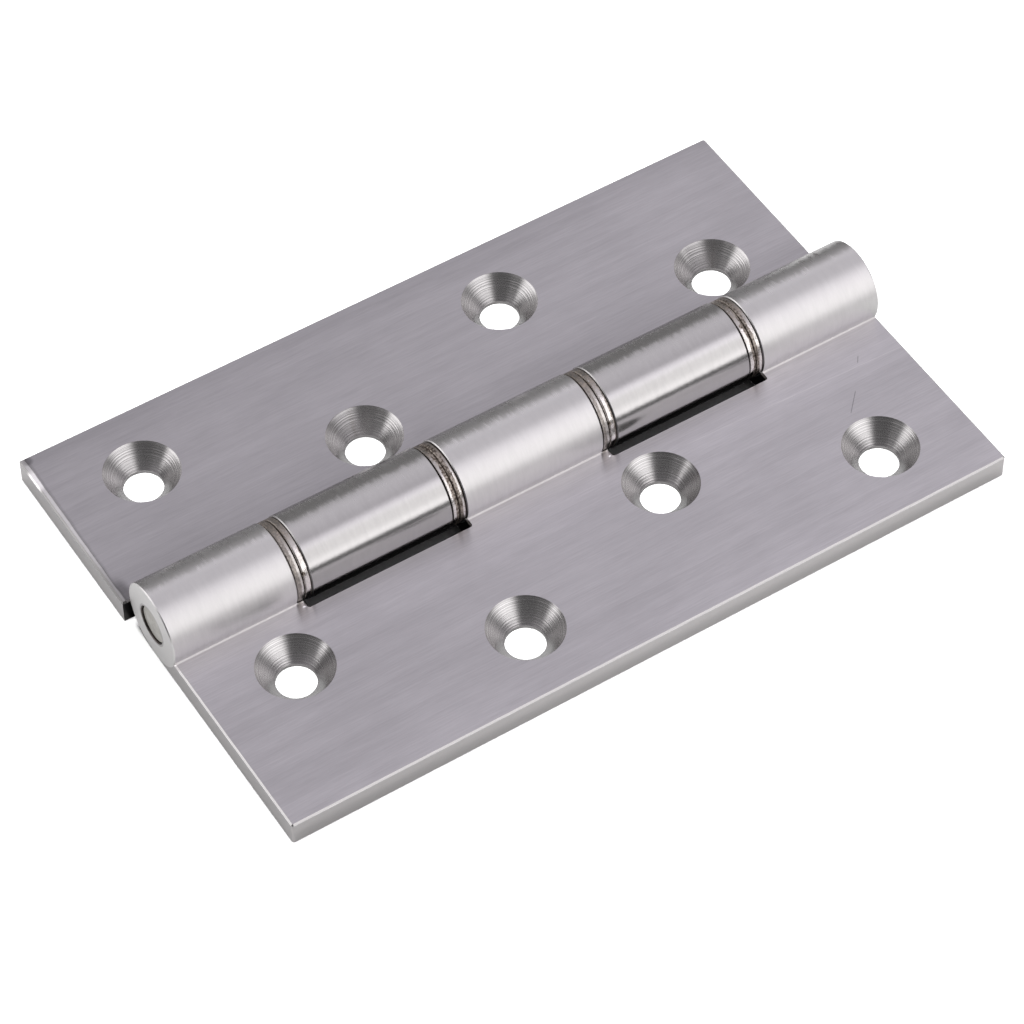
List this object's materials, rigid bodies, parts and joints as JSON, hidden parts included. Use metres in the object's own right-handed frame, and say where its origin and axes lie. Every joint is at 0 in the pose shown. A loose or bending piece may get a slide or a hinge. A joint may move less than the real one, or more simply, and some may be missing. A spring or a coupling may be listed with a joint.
{
  "type": "butt hinge",
  "caption": "Flat butt hinge lying open: two thick rectangular leaves with countersunk screw holes, joined by a round knuckled barrel on a pin with paired washers between the knuckles.",
  "frame": {"origin": "on the mounting plane, under the middle of the barrel", "axes": "+X along the pin, +Y from the pin to the back leaf, +Z to the side of the knuckles and countersinks"},
  "size_m": [0.1028, 0.065, 0.011],
  "materials": {
    "leaf_metal": "satin plated, fine grain lengthways",
    "pin_steel": "satin",
    "washer_bronze": "dull, faintly stained"
  },
  "bodies": {
    "front_leaf": {"front_leaf": "leaf_metal", "hinge_pin": "pin_steel", "washer_1a": "washer_bronze", "washer_2b": "washer_bronze", "washer_3a": "washer_bronze", "washer_4b": "washer_bronze"},
    "back_leaf": {"back_leaf": "leaf_metal", "washer_1b": "washer_bronze", "washer_2a": "washer_bronze", "washer_3b": "washer_bronze", "washer_4a": "washer_bronze"}
  },
  "joints": [
    {"name": "leaf_swing", "type": "hinge", "parent": "front_leaf", "child": "back_leaf", "pos_m": [0, 0, 0.0055], "axis": [1, 0, 0], "range_deg": [-95, 180]}
  ]
}
